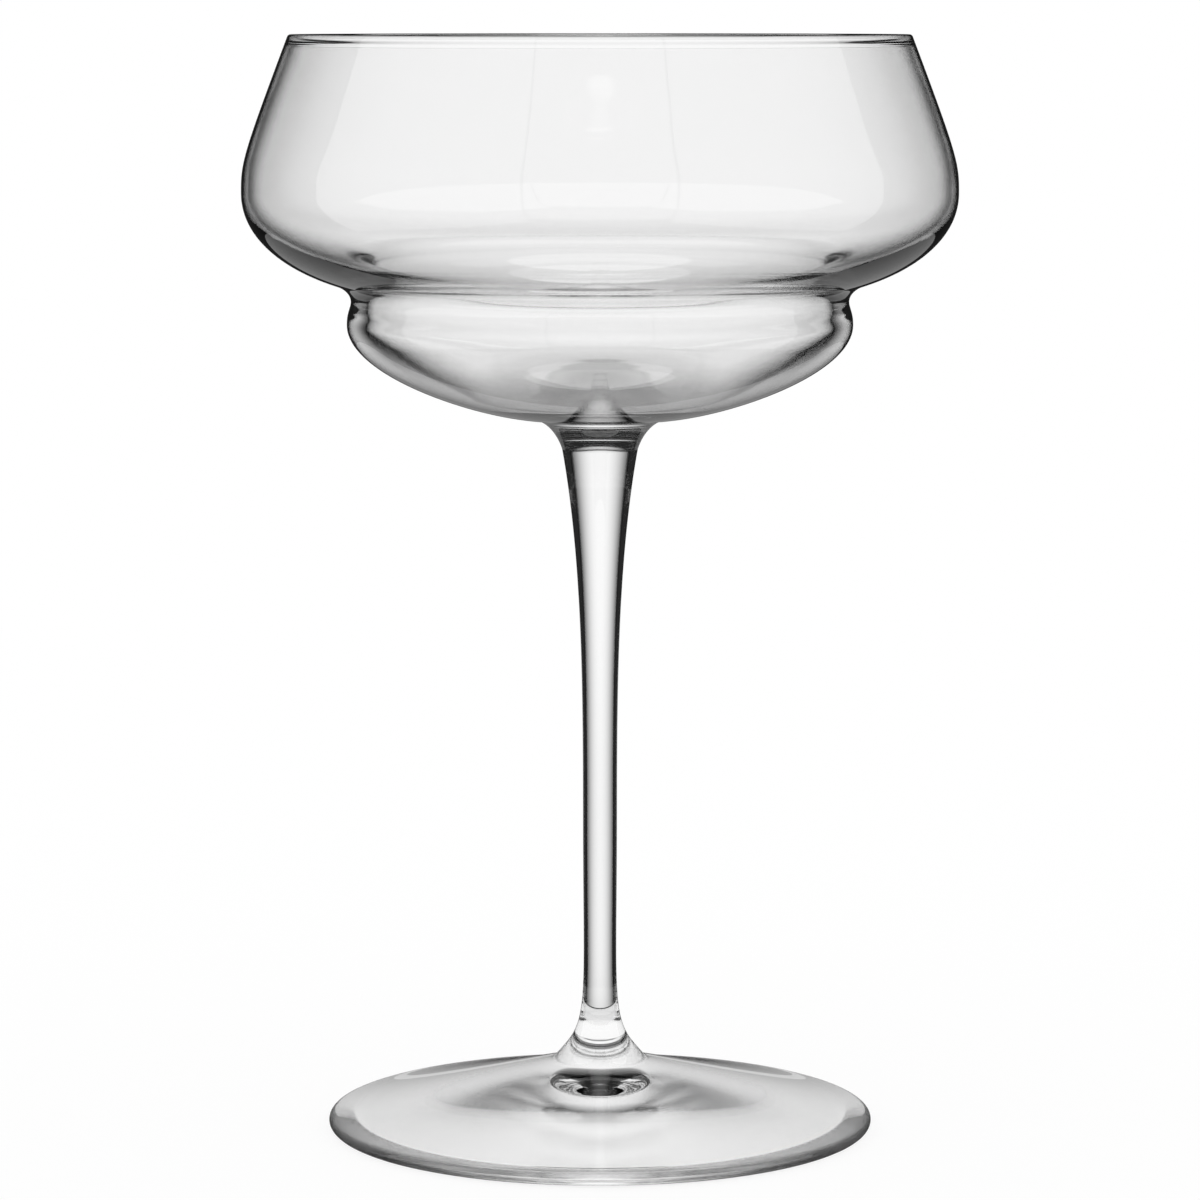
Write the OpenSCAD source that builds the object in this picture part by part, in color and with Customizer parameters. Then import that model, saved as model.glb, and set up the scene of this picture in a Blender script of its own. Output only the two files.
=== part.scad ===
// Stemmed cocktail glass with a stepped bowl: a blown bowl, a solid stem and a disc foot, three pieces of
// clear glass that meet face to face at two flat welds. Every piece is a revolved profile.
// Millimetres and degrees, +Z up. The origin is on the table, under the middle of the foot.

/* [Heights] */
// Table to the weld between foot and stem
foot_h = 12; // [10:0.5:16]
// Length of the stem, from weld to weld
stem_l = 88; // [60:1:110]
// Weld under the bowl to the top of the rim
bowl_h = 60; // [56:0.5:70]

/* [Upper cup] */
// Outside diameter at the rim
rim_d = 90; // [84:0.2:96]
// Lean of the wall below the rim, from the vertical
rim_lean = 21; // [15:1:26]
// Length over which the wall below the rim stays nearly straight
rim_run = 18.3; // [10:0.1:20]
// Outside diameter at the widest level
widest_d = 103.6; // [99:0.2:110]
// Height of the widest level above the weld
widest_z = 37.2; // [34:0.1:41]
// Upright run of the wall above the widest level
widest_run_up = 4.4; // [3:0.1:8]
// Upright run of the wall below the widest level
widest_run_down = 5.5; // [3:0.1:7]

/* [Step and waist] */
// Outside diameter where the shoulder ends above the step
step_d = 76.8; // [75:0.2:84]
// Height of that place above the weld
step_z = 24; // [23:0.1:27]
// Rise of the shoulder there, from the horizontal
step_slope = 17.8; // [12:0.1:26]
// Length over which the shoulder runs out at that rise
step_run = 9.1; // [5:0.1:12]
// Roundness of the corner on the shoulder's side
corner_run = 1.4; // [0.6:0.1:2]
// Outside diameter at the waist
waist_d = 72.2; // [70:0.2:73]
// Height of the waist above the weld
waist_z = 21.6; // [21:0.1:22.6]
// Roundness of the waist, above and below it
waist_run = 1; // [0.5:0.1:1.6]

/* [Lower cup] */
// Outside diameter of the lower cup
cup_d = 73.4; // [73.2:0.2:77]
// Height of its widest level above the weld
cup_z = 18.2; // [16:0.1:19]
// Roundness of the lower cup above that level
cup_run_up = 1.9; // [1:0.1:2.4]
// Roundness of the lower cup below that level
cup_run_down = 7.4; // [6.4:0.1:9]
// Diameter where the underside turns into the neck
neck_d = 20.8; // [18:0.2:26]
// Height of the underside there, above the weld
neck_z = 4.5; // [3.5:0.1:5.5]
// Rise of the underside there, from the horizontal
neck_slope = 2; // [0:0.5:6]
// Length over which the underside stays nearly flat
neck_run = 7; // [4:0.5:10]
// Roundness of the neck below the underside
neck_round = 3.7; // [1.5:0.1:4.5]

/* [Glass thickness] */
// Thickness of the fire-polished lip
lip_t = 1.05; // [0.9:0.05:1.6]
// Depth over which the lip thins to the wall
lip_band = 1.2; // [0.8:0.1:2]
// Wall just below the lip
rim_wall = 0.75; // [0.6:0.05:0.9]
// Wall at the widest level
widest_wall = 0.95; // [0.7:0.05:1.6]
// Wall where the shoulder ends above the step
step_wall = 1.6; // [0.9:0.1:2.4]
// Wall at the waist
waist_wall = 2.2; // [1.2:0.1:2.8]
// Wall at the widest level of the lower cup
cup_wall = 2.5; // [1.4:0.1:3]
// Wall of the underside
under_wall = 2; // [1.4:0.1:3]
// Thickness of the floor above the neck
floor_t = 2.7; // [2:0.1:4.6]
// Width of the ring around the neck over which the floor thickens
floor_band = 10; // [5:0.5:12]
// Height of the mound in the middle of the floor
mound_h = 0.2; // [0.1:0.1:2]

/* [Stem] */
// Diameter of the weld between bowl and stem
bowl_weld_d = 11; // [8:0.2:13]
// Taper of the stem at that weld, from the vertical
bowl_weld_taper = 10; // [4:1:16]
// Length over which that taper runs on down the stem
taper_run = 16; // [8:0.5:24]
// Diameter of the slimmest part
slim_d = 5; // [4:0.1:7]
// Height of the slimmest part above the foot's weld
slim_z = 34.5; // [28:0.5:40]
// Straight run of the stem above the slimmest part
slim_run_up = 20.5; // [10:0.5:22]
// Straight run of the stem below the slimmest part
slim_run_down = 26; // [14:0.5:26]
// Diameter of the weld between stem and foot
foot_weld_d = 10; // [8:0.2:12]
// Flare at that weld, from the vertical
foot_weld_flare = 39.5; // [30:0.5:48]
// Length over which the flare runs into the stem
flare_run = 5.3; // [3:0.1:7]

/* [Foot] */
// Diameter of the foot
foot_d = 80; // [70:0.5:92]
// Thickness of the foot's round edge
edge_t = 2; // [1.6:0.1:3.2]
// Diameter where the flare meets the top of the foot
flare_d = 14.6; // [13.4:0.2:18]
// Height of that place above the table
flare_z = 9.7; // [8.4:0.1:9.8]
// Fall of the top there, from the horizontal
flare_fall = 19; // [12:1:26]
// Roundness of the flare at the weld's side
flare_round = 1.7; // [0.6:0.1:2]
// Roundness of the flare at the side of the top
top_round = 0.5; // [0.3:0.1:0.8]
// Length over which the top falls away from the flare
top_run = 3; // [1:0.5:8]
// Fall of the top at the edge, from the horizontal
edge_fall = 8; // [4:0.5:11]
// Length over which the top runs out to the edge
edge_run = 6; // [2:0.5:10]
// Width of the flat ring that the foot stands on
rest_w = 3; // [1.5:0.5:6]
// Height of the hollow under the middle of the foot
hollow_h = 4.8; // [2:0.1:5.5]
// Slope of the hollow at the ring, from the horizontal
hollow_slope = 9; // [4:0.5:12]
// Length over which the hollow keeps that slope
hollow_run = 12; // [6:0.5:16]
// Flat run of the hollow under the middle
hollow_flat = 12; // [6:0.5:16]

/* [Smoothness] */
// Stretches in a long curve of a profile
long_steps = 16; // [10:1:32]
// Stretches in a short curve of a profile
short_steps = 8; // [5:1:16]
// Stretches around a revolved piece
$fn = 96; // [48:8:192]

/* [Hidden] */

// Heights of the two welds
foot_weld_z = foot_h;
bowl_weld_z = foot_h + stem_l;

// A profile point is [radius, height], and a heading is an angle: 0 outwards, 90 upwards
function along(heading, length) = length * [cos(heading), sin(heading)];
function point_on(p, t) =
    pow(1 - t, 3) * p[0] + 3 * pow(1 - t, 2) * t * p[1] + 3 * (1 - t) * t * t * p[2] + pow(t, 3) * p[3];
function slope_on(p, t) =
    pow(1 - t, 2) * (p[1] - p[0]) + 2 * (1 - t) * t * (p[2] - p[1]) + t * t * (p[3] - p[2]);
function curve(p, steps, first = 0) = [for (i = [first:steps]) point_on(p, i / steps)];
function reversed(list) = [for (i = [len(list) - 1:-1:0]) list[i]];
function mix(a, b, t) = a + (b - a) * t;
function eased(t) = t <= 0 ? 0 : t >= 1 ? 1 : t * t * (3 - 2 * t);

// Headings down the outside of the glass
rim_heading = -90 + rim_lean;
step_heading = 180 + step_slope;
neck_heading = 180 + neck_slope;
bowl_weld_heading = -90 - bowl_weld_taper;
foot_weld_heading = -90 + foot_weld_flare;

// The lip is half a circle across the top of the leaning wall
lip_r = lip_t / 2;
lip_middle = [rim_d / 2 - lip_r * cos(rim_lean), bowl_h - lip_r];
rim_point = lip_middle + along(rim_lean, lip_r);
widest_point = [widest_d / 2, widest_z];
step_point = [step_d / 2, step_z];
waist_point = [waist_d / 2, waist_z];
cup_point = [cup_d / 2, cup_z];
neck_point = [neck_d / 2, neck_z];
bowl_weld_point = [bowl_weld_d / 2, 0];

// Outside of the bowl from the rim to the neck, each curve with the wall at its two ends and its steps
wall_curves = [
    [[rim_point, rim_point + along(rim_heading, rim_run), widest_point + [0, widest_run_up], widest_point],
        rim_wall, widest_wall, long_steps],
    [[widest_point, widest_point - [0, widest_run_down], step_point - along(step_heading, step_run), step_point],
        widest_wall, step_wall, long_steps],
    [[step_point, step_point + along(step_heading, corner_run), waist_point + [0, waist_run], waist_point],
        step_wall, waist_wall, short_steps],
    [[waist_point, waist_point - [0, waist_run], cup_point + [0, cup_run_up], cup_point],
        waist_wall, cup_wall, short_steps],
    [[cup_point, cup_point - [0, cup_run_down], neck_point - along(neck_heading, neck_run), neck_point],
        cup_wall, under_wall, long_steps]
];
neck_curve = [neck_point, neck_point + along(neck_heading, neck_round), bowl_weld_point, bowl_weld_point];

// Extra thickness of the lip, which eases off below the rim
function lip_extra(depth) = (lip_t - rim_wall) * (1 - eased(depth / lip_band));
// Extra thickness of the floor, which eases off around the neck
function floor_extra(width) = (floor_t - under_wall) * (1 - eased(width / floor_band));
// Point of the inner wall opposite the point t of an outer curve
function inner_point(c, t) =
    let (
        outer = point_on(c[0], t),
        slope = slope_on(c[0], t),
        extra = lip_extra(rim_point[1] - outer[1]) + floor_extra(outer[0] - neck_point[0]),
        wall = mix(c[1], c[2], eased(t)) + extra
    )
    outer + wall * [slope[1], -slope[0]] / norm(slope);
outer_wall = [for (c = wall_curves) each curve(c[0], c[3], 1)];
// The first step of the inner wall is cut finely, for the lip's easing
lip_wall = [for (i = [1:short_steps - 1]) inner_point(wall_curves[0], i / short_steps / long_steps)];
inner_wall = concat(lip_wall, [for (c = wall_curves) for (i = [1:c[3]]) inner_point(c, i / c[3])]);

function bowl_profile() =
    let (
        floor_edge = inner_wall[len(inner_wall) - 1],
        mound = [for (i = [1:long_steps - 1]) let (t = i / (long_steps - 1))
            [floor_edge[0] * (1 - t), floor_edge[1] + mound_h * eased(t)]],
        lip = [for (i = [0:short_steps]) lip_middle + along(rim_lean + 180 * (1 - i / short_steps), lip_r)]
    )
    concat(lip, outer_wall, curve(neck_curve, short_steps, 1), [[0, 0]], reversed(mound), reversed(inner_wall));

function stem_profile() =
    let (
        top = [bowl_weld_d / 2, stem_l],
        slim = [slim_d / 2, slim_z],
        bottom = [foot_weld_d / 2, 0],
        taper = [top, top + along(bowl_weld_heading, taper_run), slim + [0, slim_run_up], slim],
        flare = [slim, slim - [0, slim_run_down], bottom - along(foot_weld_heading, flare_run), bottom]
    )
    concat([[0, stem_l]], curve(taper, long_steps), curve(flare, long_steps, 1), [[0, 0]]);

function foot_profile() =
    let (
        weld = [foot_weld_d / 2, foot_h],
        flare = [flare_d / 2, flare_z],
        edge_r = edge_t / 2,
        edge_middle = [foot_d / 2 - edge_r, edge_r],
        edge_top = edge_middle + along(90 - edge_fall, edge_r),
        rest_in = [edge_middle[0] - rest_w, 0],
        hollow_top = [0, hollow_h],
        collar = [weld, weld + along(foot_weld_heading, flare_round), flare - along(-flare_fall, top_round), flare],
        top = [flare, flare + along(-flare_fall, top_run), edge_top - along(-edge_fall, edge_run), edge_top],
        edge = [for (i = [1:short_steps]) edge_middle + along(mix(90 - edge_fall, -90, i / short_steps), edge_r)],
        hollow = [rest_in, rest_in + along(180 - hollow_slope, hollow_run), hollow_top + [hollow_flat, 0], hollow_top]
    )
    concat([[0, foot_h]], curve(collar, short_steps), curve(top, long_steps, 1), edge, curve(hollow, long_steps));

module revolved(profile, base_z) {
    translate([0, 0, base_z]) rotate_extrude() polygon(profile);
}

module bowl() {
    color([0.93, 0.95, 0.95, 0.45]) revolved(bowl_profile(), bowl_weld_z);
}

module stem() {
    color([0.9, 0.93, 0.93, 0.55]) revolved(stem_profile(), foot_weld_z);
}

module foot() {
    color([0.91, 0.94, 0.94, 0.5]) revolved(foot_profile(), 0);
}

bowl();
stem();
foot();
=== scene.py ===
import math

import bmesh
import bpy
import numpy as np
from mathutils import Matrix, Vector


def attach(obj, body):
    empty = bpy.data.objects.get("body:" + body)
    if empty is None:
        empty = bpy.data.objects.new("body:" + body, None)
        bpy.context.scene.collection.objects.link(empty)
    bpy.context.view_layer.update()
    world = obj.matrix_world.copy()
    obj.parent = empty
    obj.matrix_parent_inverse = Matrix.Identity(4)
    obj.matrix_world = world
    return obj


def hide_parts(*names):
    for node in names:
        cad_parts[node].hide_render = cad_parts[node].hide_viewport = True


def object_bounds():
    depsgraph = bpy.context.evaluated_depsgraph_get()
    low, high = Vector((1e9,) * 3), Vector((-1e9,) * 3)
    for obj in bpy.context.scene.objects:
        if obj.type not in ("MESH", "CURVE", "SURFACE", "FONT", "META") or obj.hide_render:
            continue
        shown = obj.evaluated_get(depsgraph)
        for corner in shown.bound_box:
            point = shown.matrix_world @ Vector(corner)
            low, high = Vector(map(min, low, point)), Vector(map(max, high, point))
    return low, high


# Looks of a stemmed cocktail glass with a stepped bowl. Each of its three pieces is turned again from the
# outline of its solid, finely enough for light to bend smoothly in it.
# Metres, +Z up, the table at height 0.
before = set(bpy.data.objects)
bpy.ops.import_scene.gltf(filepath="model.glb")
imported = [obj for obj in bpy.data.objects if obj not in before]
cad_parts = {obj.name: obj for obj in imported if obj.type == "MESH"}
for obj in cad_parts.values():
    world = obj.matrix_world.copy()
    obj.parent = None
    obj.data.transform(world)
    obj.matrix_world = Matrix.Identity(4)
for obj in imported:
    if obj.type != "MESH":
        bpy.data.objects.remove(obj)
cad_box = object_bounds()

# Fineness of the turned glass
facets_around = 192
outline_stretch = 0.0005
straight_turn = math.radians(0.01)
seam_decimals = 8
tiny = 1e-7

# Glass, with painted shade at its edges. A slant is 1 less the cosine between the view and the normal: a
# piece's colour is clear up to its first slant and painted dark from the second on.
glass_ior = 1.5
even_blend = 0.5
wall_shade_slants = (0.7, 0.89)
foot_shade_slants = (0.97, 0.995)

# Waves of the blown glass
wave_scale = 30
wave_detail = 1
wave_squeeze = 5
bowl_wave_height = 0.00006
foot_wave_height = 0.00003

# Hollow under the foot, dull within the inner radius where its normal points down
hollow_radius = 0.036
hollow_inner_radius = 0.95 * hollow_radius
hollow_roughness = 0.12
side_normal_z = -0.5
down_normal_z = -0.9

# Camera, level with the rim and aimed at about the middle of the glass
camera_lens = 145.1
camera_reach = 0.7016
camera_height = 0.1624
camera_dip = math.radians(6.868)

# Light levels, where 1 is white
white = 1
surround_light = 0.9
floor_colour = 0.15
floor_glow = 0.865
dim = 0.35
dark = 0.02

# Floor and tables. The dark and lit tables are painted shade and light on the floor under the foot, seen
# only in the glass. A setback is how far the middle of a disc lies behind the axis of the glass.
disc_corners = 96
floor_radius = 0.6
floor_gap = 0.0002
painted_shadow_table_radius = 0.053
painted_shadow_table_setback = -0.006
painted_light_table_radius = 0.0375
painted_light_table_widening = 1.04
painted_light_table_setback = 0.0035
dim_floor_radius = 0.255
dim_floor_setback = 0.365

# Studio round the middle of the glass
room_half = 4.0
pool_reach = 1.5
pool_rise = 0.25
pool_half_width = 0.92 * pool_reach
pool_half_height = 1.25 * pool_reach
pool_fade_share = 0.95
card_low = -0.5
card_high = 1.6
front_wall_reach = 1.0
front_wall_half_width = 0.43
soft_box_reach = 0.9
soft_box_degrees = (98, 24)

# Light crosses a glass wall many times, so its path may be long
light_bounces = 32


def seam_outline(node):
    """The outline of a turned node as points (radius, height), in order along its mesh's seam at y = 0."""
    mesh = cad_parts[node].data
    places = np.array([v.co for v in mesh.vertices], float)
    on_seam = (np.abs(places[:, 1]) < tiny) & (places[:, 0] > -tiny)
    beside = {}
    for edge in mesh.edges:
        pair = list(edge.vertices)
        if not on_seam[pair].all():
            continue
        a, b = (tuple(np.round(places[i][[0, 2]], seam_decimals)) for i in pair)
        if a != b:
            beside.setdefault(a, set()).add(b)
            beside.setdefault(b, set()).add(a)
    ends = [p for p in beside if len(beside[p]) == 1]
    walk = [max(ends)]
    while True:
        onward = [p for p in beside[walk[-1]] if p not in walk[-2:]]
        if not onward:
            return np.array(walk)
        walk.append(onward[0])


def without_straights(outline):
    """The outline without the points that lie inside its straight stretches."""
    into = np.diff(outline, axis=0)
    heading = np.unwrap(np.arctan2(into[:, 1], into[:, 0]))
    turns = np.abs(np.diff(heading)) > straight_turn
    return outline[np.concatenate([[True], turns, [True]])]


def fine_stretch(points, index):
    """Points after points[index], up to the next one, on the smoothest cubic through four neighbours."""
    firsts = [i for i in (index - 2, index - 1, index) if 0 <= i and i + 3 < len(points)]
    unevenness = [np.hypot(*np.diff(points[i:i + 4], 3, axis=0)[0]) for i in firsts]
    first = firsts[int(np.argmin(unevenness))]
    length = np.hypot(*(points[index + 1] - points[index]))
    pieces = max(2, math.ceil(length / outline_stretch))
    at = index - first + np.arange(1, pieces + 1)[:, None] / pieces
    made = np.zeros((pieces, 2))
    for i in range(4):
        weight = np.ones((pieces, 1))
        for other in range(4):
            if other != i:
                weight *= (at - other) / (i - other)
        made += weight * points[first + i]
    return made


def fine_outline(node):
    """The node's outline as a smooth curve, straight where it lies flat on the table."""
    outline = without_straights(seam_outline(node))
    flat = [i for i, (radius, height) in enumerate(outline) if height < tiny]
    cuts = [0] + flat + [len(outline) - 1]
    made = [outline[:1]]
    for first, last in zip(cuts, cuts[1:]):
        part = outline[first:last + 1]
        if len(part) < 4:
            made.append(part[1:])
        else:
            made += [fine_stretch(part, i) for i in range(len(part) - 1)]
    return np.concatenate(made)


def turned(name, outline):
    """A closed mesh turned from the outline. Faces of its second material close an end off the axis."""
    turn = np.arange(facets_around) * 2 * math.pi / facets_around
    mesh = bmesh.new()
    rings = []
    for radius, height in outline:
        if radius < tiny:
            rings.append([mesh.verts.new((0, 0, height))] * facets_around)
            continue
        places = [(radius * math.cos(a), radius * math.sin(a), height) for a in turn]
        rings.append([mesh.verts.new(place) for place in places])
    for ring, onward in zip(rings, rings[1:]):
        for i in range(facets_around):
            j = (i + 1) % facets_around
            corners = [ring[i], ring[j], onward[j], onward[i]]
            face = mesh.faces.new(list(dict.fromkeys(corners)))
            face.smooth = True
    for ring, height in ((rings[0], outline[0][1]), (rings[-1], outline[-1][1])):
        if ring[0] is ring[1]:
            continue
        middle = mesh.verts.new((0, 0, height))
        for i in range(facets_around):
            j = (i + 1) % facets_around
            face = mesh.faces.new((ring[i], ring[j], middle))
            face.material_index = 1
            mesh.edges.get((ring[i], ring[j])).smooth = False
    bmesh.ops.recalc_face_normals(mesh, faces=mesh.faces)
    data = bpy.data.meshes.new(name)
    mesh.to_mesh(data)
    mesh.free()
    made = bpy.data.objects.new(name, data)
    bpy.context.scene.collection.objects.link(made)
    return made


def node_material(name):
    """A new node material, and its Principled shader."""
    made = bpy.data.materials.new(name)
    made.use_nodes = True
    return made, made.node_tree.nodes["Principled BSDF"]


def glass_with_painted_edge_shade(name, slants):
    """Clear glass with painted edge shade: its colour darkens from the first to the second slant at which it
    is seen.
    """
    made, shader = node_material(name)
    shader.inputs["Roughness"].default_value = 0
    shader.inputs["IOR"].default_value = glass_ior
    shader.inputs["Transmission Weight"].default_value = 1
    tree = made.node_tree
    slant = tree.nodes.new("ShaderNodeLayerWeight")
    slant.inputs["Blend"].default_value = even_blend
    clear = tree.nodes.new("ShaderNodeMapRange")
    clear.interpolation_type = "SMOOTHSTEP"
    clear.inputs["From Min"].default_value = slants[0]
    clear.inputs["From Max"].default_value = slants[1]
    clear.inputs["To Min"].default_value = 1
    clear.inputs["To Max"].default_value = 0
    tree.links.new(slant.outputs["Facing"], clear.inputs["Value"])
    # Painted shade: the colour goes dark where the glass is seen at a slant
    tree.links.new(clear.outputs["Result"], shader.inputs["Base Color"])
    return made


def add_waves(material, height):
    """Faint waves of blown glass, longer around the piece than up it."""
    tree = material.node_tree
    place = tree.nodes.new("ShaderNodeTexCoord")
    squeeze = tree.nodes.new("ShaderNodeMapping")
    squeeze.inputs["Scale"].default_value = (1, 1, wave_squeeze)
    waves = tree.nodes.new("ShaderNodeTexNoise")
    waves.inputs["Scale"].default_value = wave_scale
    waves.inputs["Detail"].default_value = wave_detail
    bump = tree.nodes.new("ShaderNodeBump")
    bump.inputs["Distance"].default_value = height
    tree.links.new(place.outputs["Object"], squeeze.inputs["Vector"])
    tree.links.new(squeeze.outputs["Vector"], waves.inputs["Vector"])
    tree.links.new(waves.outputs["Fac"], bump.inputs["Height"])
    tree.links.new(bump.outputs["Normal"], tree.nodes["Principled BSDF"].inputs["Normal"])


def add_dull_hollow(material):
    """A slightly dull underside, inside the ring that the foot stands on."""
    tree = material.node_tree
    side = tree.nodes.new("ShaderNodeNewGeometry")
    split = tree.nodes.new("ShaderNodeSeparateXYZ")
    down = tree.nodes.new("ShaderNodeMapRange")
    down.inputs["From Min"].default_value = side_normal_z
    down.inputs["From Max"].default_value = down_normal_z
    down.inputs["To Max"].default_value = hollow_roughness
    place = tree.nodes.new("ShaderNodeTexCoord")
    level = tree.nodes.new("ShaderNodeVectorMath")
    level.operation = "MULTIPLY"
    level.inputs[1].default_value = (1, 1, 0)
    reach = tree.nodes.new("ShaderNodeVectorMath")
    reach.operation = "LENGTH"
    inside = tree.nodes.new("ShaderNodeMapRange")
    inside.inputs["From Min"].default_value = hollow_radius
    inside.inputs["From Max"].default_value = hollow_inner_radius
    both = tree.nodes.new("ShaderNodeMath")
    both.operation = "MULTIPLY"
    tree.links.new(side.outputs["True Normal"], split.inputs["Vector"])
    tree.links.new(split.outputs["Z"], down.inputs["Value"])
    tree.links.new(place.outputs["Object"], level.inputs[0])
    tree.links.new(level.outputs["Vector"], reach.inputs[0])
    tree.links.new(reach.outputs["Value"], inside.inputs["Value"])
    tree.links.new(down.outputs["Result"], both.inputs[0])
    tree.links.new(inside.outputs["Result"], both.inputs[1])
    tree.links.new(both.outputs["Value"], tree.nodes["Principled BSDF"].inputs["Roughness"])


def fused_weld():
    """The face inside a weld, where the glass of two pieces is one and nothing shows."""
    made, shader = node_material("fused_weld")
    shader.inputs["Alpha"].default_value = 0
    return made


# The three pieces of glass
weld = fused_weld()
# Each piece's glass has painted shade where it is seen at a slant
glass = {"bowl": glass_with_painted_edge_shade("bowl_glass", wall_shade_slants), "stem": glass_with_painted_edge_shade("stem_glass", wall_shade_slants),
         "foot": glass_with_painted_edge_shade("foot_glass", foot_shade_slants)}
add_waves(glass["bowl"], bowl_wave_height)
add_waves(glass["foot"], foot_wave_height)
add_dull_hollow(glass["foot"])
for node in ("bowl", "stem", "foot"):
    piece = turned(f"clear_{node}", fine_outline(node))
    piece.data.materials.append(glass[node])
    piece.data.materials.append(weld)
    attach(piece, "root")
    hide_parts(node)

# Camera
camera = bpy.data.objects.new("camera", bpy.data.cameras.new("camera"))
bpy.context.scene.collection.objects.link(camera)
camera.data.lens = camera_lens
camera.location = (0, -camera_reach, camera_height)
camera.rotation_euler = (math.pi / 2 - camera_dip, 0, 0)
bpy.context.scene.camera = camera


def seen_rays(tree):
    """A socket that is 1 for camera rays and for what gloss and glass show, and 0 for lighting."""
    path = tree.nodes.new("ShaderNodeLightPath")
    seen = path.outputs["Is Camera Ray"]
    for kind in ("Is Glossy Ray", "Is Transmission Ray"):
        either = tree.nodes.new("ShaderNodeMath")
        either.operation = "MAXIMUM"
        tree.links.new(seen, either.inputs[0])
        tree.links.new(path.outputs[kind], either.inputs[1])
        seen = either.outputs[0]
    return seen


def white_world():
    """A white surround, which gives a little less light than it shows."""
    world = bpy.data.worlds.new("studio")
    bpy.context.scene.world = world
    world.use_nodes = True
    tree = world.node_tree
    lit = tree.nodes["Background"]
    lit.inputs["Strength"].default_value = surround_light
    shown = tree.nodes.new("ShaderNodeBackground")
    for background in (lit, shown):
        background.inputs["Color"].default_value = (white, white, white, 1)
    mix = tree.nodes.new("ShaderNodeMixShader")
    tree.links.new(seen_rays(tree), mix.inputs["Fac"])
    tree.links.new(lit.outputs[0], mix.inputs[1])
    tree.links.new(shown.outputs[0], mix.inputs[2])
    tree.links.new(mix.outputs[0], tree.nodes["World Output"].inputs["Surface"])


def glow(name, level):
    """A plain emitting material."""
    made, shader = node_material(name)
    tree = made.node_tree
    tree.nodes.remove(shader)
    light = tree.nodes.new("ShaderNodeEmission")
    light.inputs["Color"].default_value = (level, level, level, 1)
    tree.links.new(light.outputs[0], tree.nodes["Material Output"].inputs["Surface"])
    return made


def pool_glow(name):
    """White light in its object's middle, which fades out over the outer share of the way to 1."""
    made = glow(name, white)
    tree = made.node_tree
    place = tree.nodes.new("ShaderNodeTexCoord")
    ball = tree.nodes.new("ShaderNodeTexGradient")
    ball.gradient_type = "SPHERICAL"
    fade = tree.nodes.new("ShaderNodeMapRange")
    fade.interpolation_type = "SMOOTHSTEP"
    fade.inputs["From Max"].default_value = pool_fade_share
    tree.links.new(place.outputs["Object"], ball.inputs["Vector"])
    tree.links.new(ball.outputs["Fac"], fade.inputs["Value"])
    tree.links.new(fade.outputs["Result"], tree.nodes["Emission"].inputs["Strength"])
    return made


def stage_mesh(name, corners, faces, material):
    """A stage object with flat faces."""
    data = bpy.data.meshes.new(name)
    data.from_pydata(corners, [], faces)
    data.materials.append(material)
    made = bpy.data.objects.new(name, data)
    bpy.context.scene.collection.objects.link(made)
    return made


def disc(name, radius, height, material):
    """A level stage disc."""
    turn = np.arange(disc_corners) * 2 * math.pi / disc_corners
    rim = [(radius * math.cos(a), radius * math.sin(a), height) for a in turn]
    return stage_mesh(name, rim, [range(disc_corners)], material)


def only_in_glass(made):
    """Leaves a stage object to the rays that glass bends or reflects."""
    made.visible_camera = False
    made.visible_diffuse = False
    made.visible_shadow = False


def turning_empty(name):
    """An empty that turns with the camera."""
    made = bpy.data.objects.new(name, None)
    bpy.context.scene.collection.objects.link(made)
    made.constraints.new("COPY_ROTATION").target = camera
    return made


# The studio turns with the camera round the middle of the glass: x to the right, y up, z to the camera
studio = turning_empty("studio")
studio.location.z = (cad_box[0][2] + cad_box[1][2]) / 2

# Its tables turn with the camera too, but stay level
level_studio = turning_empty("level_studio")
level_studio.constraints[0].use_x = False
level_studio.constraints[0].use_y = False


def card(name, corners, material):
    """A card of the studio."""
    made = stage_mesh(name, corners, [range(len(corners))], material)
    made.parent = studio
    only_in_glass(made)
    return made


def upright_card(name, ends, material):
    """A card that stands between two ends (x, z)."""
    (x0, z0), (x1, z1) = ends
    corners = [(x0, card_low, z0), (x0, card_high, z0), (x1, card_high, z1), (x1, card_low, z1)]
    return card(name, corners, material)


def table(name, radius, setback, drop, level):
    """A level glowing disc, which only the glass shows."""
    made = disc(name, radius, -drop, glow(name, level))
    made.location.y = setback
    made.parent = level_studio
    only_in_glass(made)
    return made


def around(degrees):
    """The place (x, z) of a soft box's side, turned from the camera's side to the right."""
    turn = math.radians(degrees)
    return soft_box_reach * math.sin(turn), soft_box_reach * math.cos(turn)


white_world()
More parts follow.
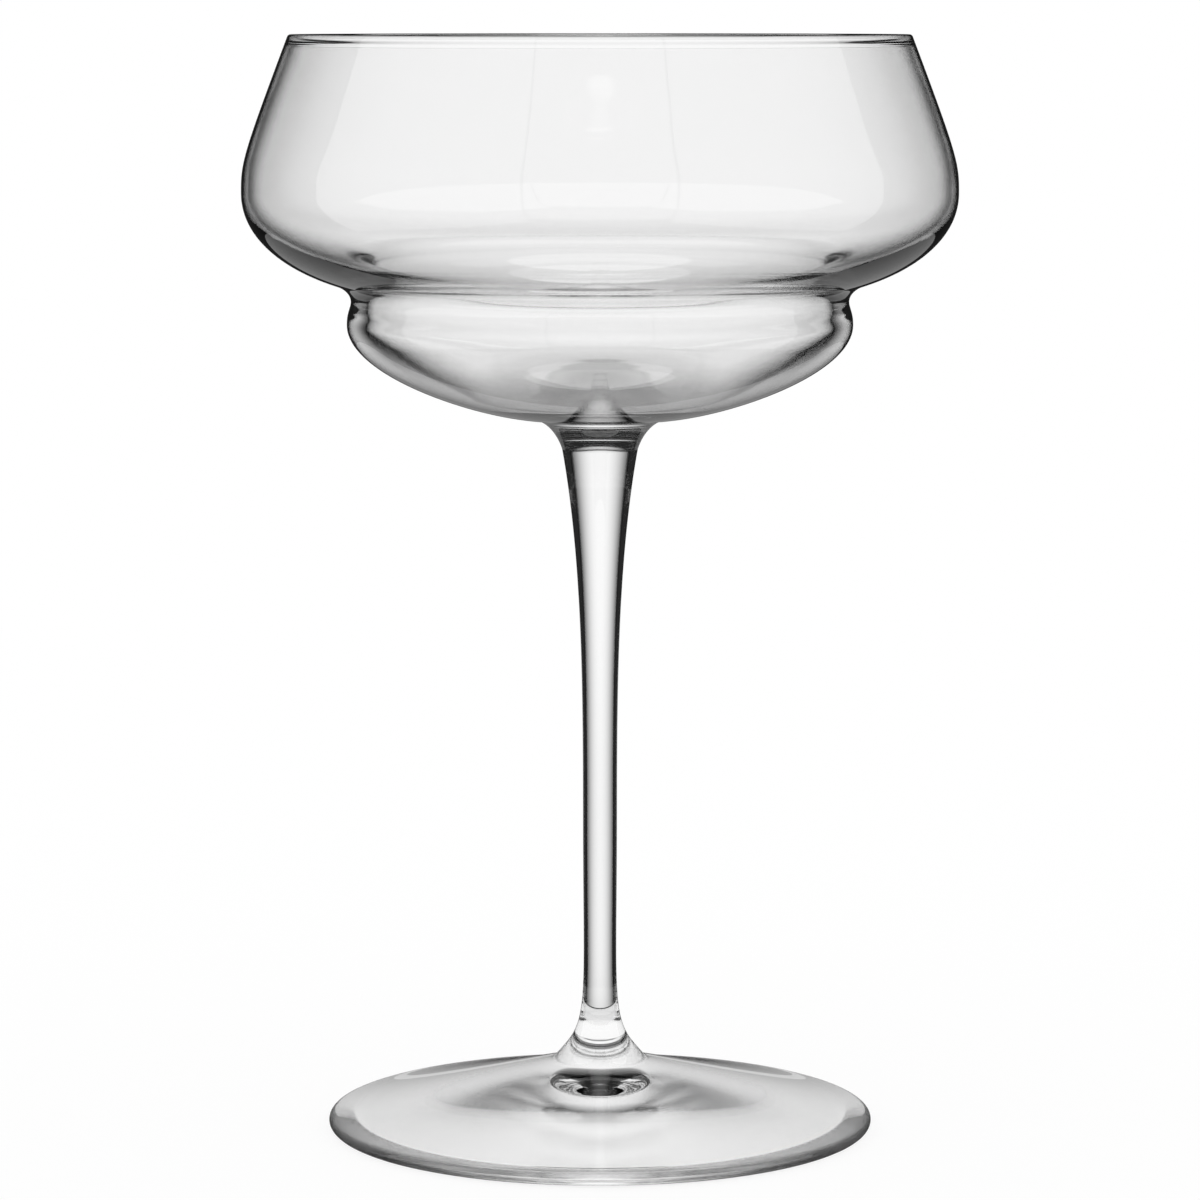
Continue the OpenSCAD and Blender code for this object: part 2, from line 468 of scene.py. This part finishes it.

# Floor for the camera, and for the glass the tables under the foot: a glowing pool of painted light inside a
# dark disc of painted shadow round the foot's edge
floor_material, floor_shader = node_material("pale_floor")
floor_shader.inputs["Base Color"].default_value = (floor_colour, floor_colour, floor_colour, 1)
floor_shader.inputs["Roughness"].default_value = 1
floor_shader.inputs["Specular IOR Level"].default_value = 0
floor_shader.inputs["Emission Color"].default_value = (white, white, white, 1)
floor_shader.inputs["Emission Strength"].default_value = floor_glow
floor = disc("floor", floor_radius, -floor_gap, floor_material)
floor.visible_glossy = False
floor.visible_transmission = False
# Painted shadow round the foot, and a painted pool of light under it
table("painted_shadow_table", painted_shadow_table_radius, painted_shadow_table_setback, 2 * floor_gap, dark)
painted_light_table = table("painted_light_table", painted_light_table_radius, painted_light_table_setback, floor_gap, white)
painted_light_table.scale.x = painted_light_table_widening

# Dark room, as the glass shows it
room_sides = (-room_half, room_half)
room_corners = [(x, y, z) for x in room_sides for y in room_sides for z in room_sides]
room_faces = [(0, 1, 3, 2), (4, 5, 7, 6), (0, 1, 5, 4), (2, 3, 7, 6), (0, 2, 6, 4), (1, 3, 7, 5)]
room = stage_mesh("dark_room", room_corners, room_faces, glow("dark_room", dark))
room.parent = studio
only_in_glass(room)

# Pool of light on the backdrop, which shows through the glass and not in reflections
pool = card("backdrop_pool", [(-1, -1, 0), (1, -1, 0), (1, 1, 0), (-1, 1, 0)], pool_glow("pool_glow"))
pool.location = (0, pool_rise, -pool_reach)
pool.scale = (pool_half_width, pool_half_height, 1)
pool.visible_glossy = False

# Front wall, soft boxes left and right, and dim floor, which show in reflections alone
box = glow("soft_box", white)
wall_ends = [(-front_wall_half_width, front_wall_reach), (front_wall_half_width, front_wall_reach)]
reflected = [upright_card("front_wall", wall_ends, glow("front_wall", white))]
for side, name in ((-1, "left"), (1, "right")):
    box_ends = [around(side * degrees) for degrees in soft_box_degrees]
    reflected.append(upright_card(f"{name}_soft_box", box_ends, box))
reflected.append(table("dim_floor", dim_floor_radius, dim_floor_setback, 3 * floor_gap, dim))
for made in reflected:
    made.visible_transmission = False

bpy.context.scene.view_settings.view_transform = "Standard"
bounces = bpy.context.scene.cycles
bounces.max_bounces = light_bounces
bounces.glossy_bounces = light_bounces
bounces.transmission_bounces = light_bounces
